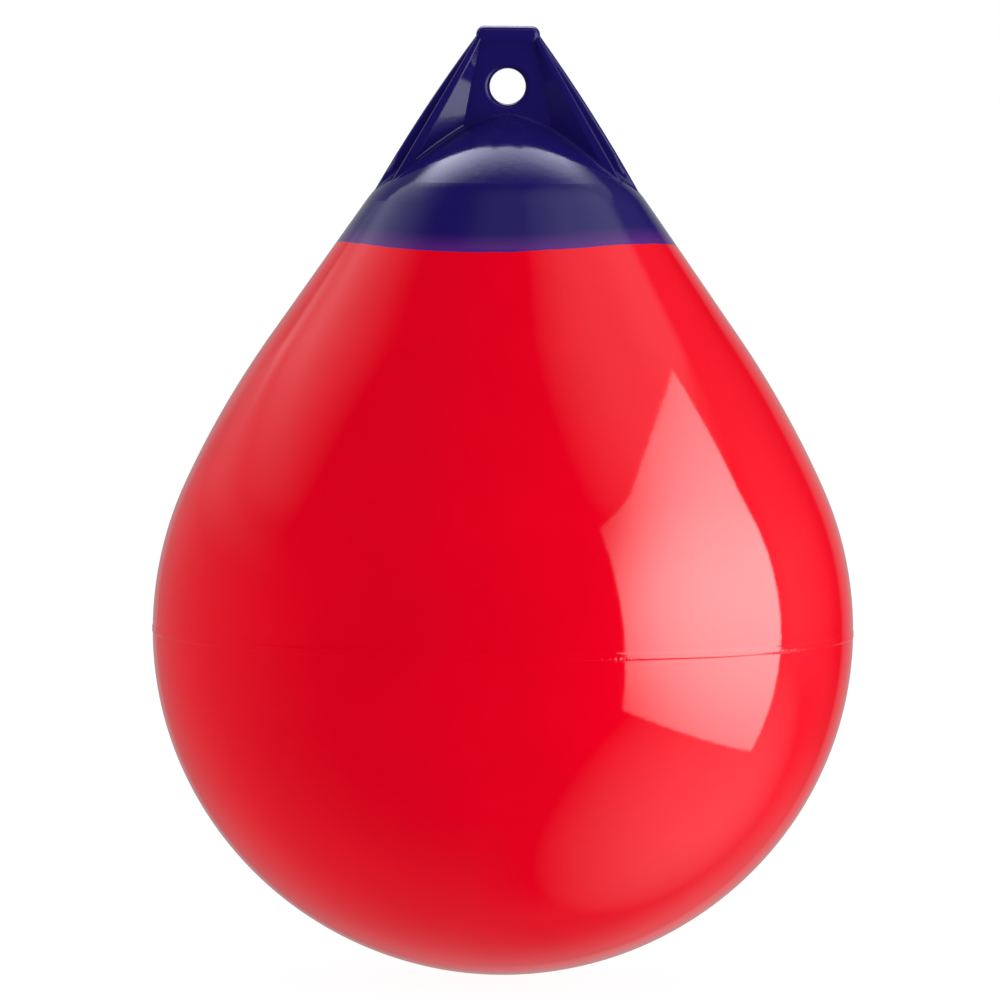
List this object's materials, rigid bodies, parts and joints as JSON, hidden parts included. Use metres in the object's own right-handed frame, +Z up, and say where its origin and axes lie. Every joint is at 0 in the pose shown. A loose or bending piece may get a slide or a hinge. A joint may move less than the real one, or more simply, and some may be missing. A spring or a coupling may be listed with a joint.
{
  "type": "inflatable teardrop buoy",
  "caption": "Inflatable teardrop buoy of glossy soft vinyl: a round red body that tapers to a blue ribbed rope hold with a line eye and a screw valve.",
  "frame": {"origin": "middle of the line eye, where the buoy hangs", "axes": "+Z up along the body's axis towards the lug's top, Y along the eye with the valve on the +Y side, +X to the right seen from the front"},
  "size_m": [0.4328, 0.4328, 0.5843],
  "materials": {
    "red_vinyl": "glossy moulded soft vinyl",
    "blue_vinyl": "glossy moulded soft vinyl",
    "valve_plastic": "plain moulded nylon",
    "gasket_rubber": "plain rubber"
  },
  "bodies": {
    "root": {"bladder": "red_vinyl", "rope_hold": "blue_vinyl", "valve_seat": "valve_plastic", "valve_gasket": "gasket_rubber", "valve_screw": "valve_plastic"}
  },
  "joints": []
}
